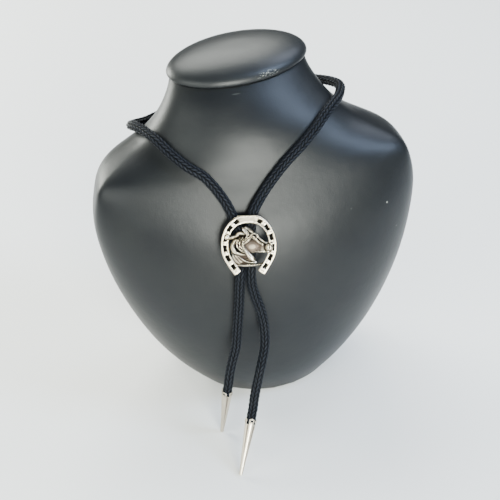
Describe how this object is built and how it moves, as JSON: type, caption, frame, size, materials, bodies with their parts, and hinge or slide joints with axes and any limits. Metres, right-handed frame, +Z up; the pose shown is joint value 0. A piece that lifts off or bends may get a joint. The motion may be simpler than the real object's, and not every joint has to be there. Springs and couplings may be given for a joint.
{
  "type": "bolo tie on a neck bust",
  "caption": "Braided cord tie with a horse-and-horseshoe slide and cone tips, worn on a plain black leatherette neck bust.",
  "frame": {"origin": "middle of the bust's flat base, on the table", "axes": "+Z up, -Y toward the front of the bust, +X to the right as one looks at the front"},
  "size_m": [0.1928, 0.1666, 0.2085],
  "materials": {
    "bust_cover": "satin fine-grained black leatherette",
    "cap_cover": "satin fine-grained black leatherette",
    "braid": "round braid with a soft sheen",
    "slide_metal": "antiqued silver, bright on the raised parts and dark in the recesses",
    "clip_metal": "plain satin",
    "tip_metal": "satin nickel"
  },
  "bodies": {
    "root": {"neck_bust": "bust_cover", "neck_cap": "cap_cover", "cord_neck_loop": "braid", "cord_end_left": "braid", "cord_end_right": "braid", "slide": "slide_metal", "slide_clip": "clip_metal", "tip_left": "tip_metal", "tip_right": "tip_metal"}
  },
  "joints": []
}
